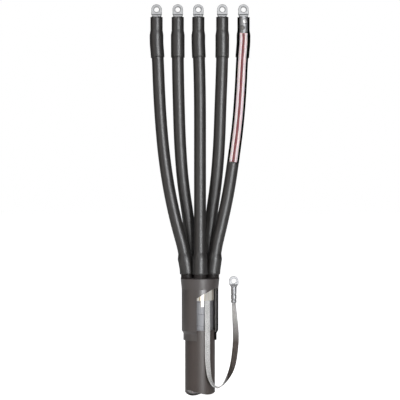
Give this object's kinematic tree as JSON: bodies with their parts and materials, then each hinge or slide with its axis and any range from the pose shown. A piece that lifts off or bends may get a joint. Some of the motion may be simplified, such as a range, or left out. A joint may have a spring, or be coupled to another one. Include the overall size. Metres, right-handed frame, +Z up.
{
  "type": "cable termination",
  "caption": "Heat-shrink low-voltage cable termination: breakout boot, sleeved cores with mechanical lugs, roll-spring earth braid, and cut-away windows.",
  "frame": {"origin": "centre of the middle lug's bolt hole, half way through its palm", "axes": "+Z up along the cable, -Y towards the front with the windows, +X to the right seen from the front"},
  "size_m": [0.1813, 0.0722, 0.7082],
  "materials": {
    "sheath": "extruded, slightly dusty",
    "armour": "dull galvanised tape",
    "bedding": "extruded filler",
    "conductor": "sawn",
    "insulation": "natural white",
    "boot": "moulded heat-shrink, low sheen",
    "core_tube": "recovered heat-shrink, low sheen",
    "lug_cuff": "recovered heat-shrink, low sheen",
    "lug": "tinned, satin",
    "shear_bolt": "tinned, torn in the middle",
    "spring": "rolled strip",
    "braid": "tinned copper weave",
    "earth_lug": "tinned copper"
  },
  "bodies": {
    "root": {"outer_sheath": "sheath", "armour_tape": "armour", "bedding": "bedding", "conductor_1": "conductor", "conductor_2": "conductor", "conductor_3": "conductor", "conductor_4": "conductor", "conductor_5": "conductor", "insulation_1": "insulation", "insulation_2": "insulation", "insulation_3": "insulation", "insulation_4": "insulation", "insulation_5": "insulation", "breakout_boot": "boot", "core_tube_1": "core_tube", "core_tube_2": "core_tube", "core_tube_3": "core_tube", "core_tube_4": "core_tube", "core_tube_5": "core_tube", "lug_cuff_1": "lug_cuff", "lug_cuff_2": "lug_cuff", "lug_cuff_3": "lug_cuff", "lug_cuff_4": "lug_cuff", "lug_cuff_5": "lug_cuff", "lug_1": "lug", "lug_2": "lug", "lug_3": "lug", "lug_4": "lug", "lug_5": "lug", "shear_bolts_1": "shear_bolt", "shear_bolts_2": "shear_bolt", "shear_bolts_3": "shear_bolt", "shear_bolts_4": "shear_bolt", "shear_bolts_5": "shear_bolt", "roll_spring": "spring", "earth_braid": "braid", "earth_lug": "earth_lug"}
  },
  "joints": []
}
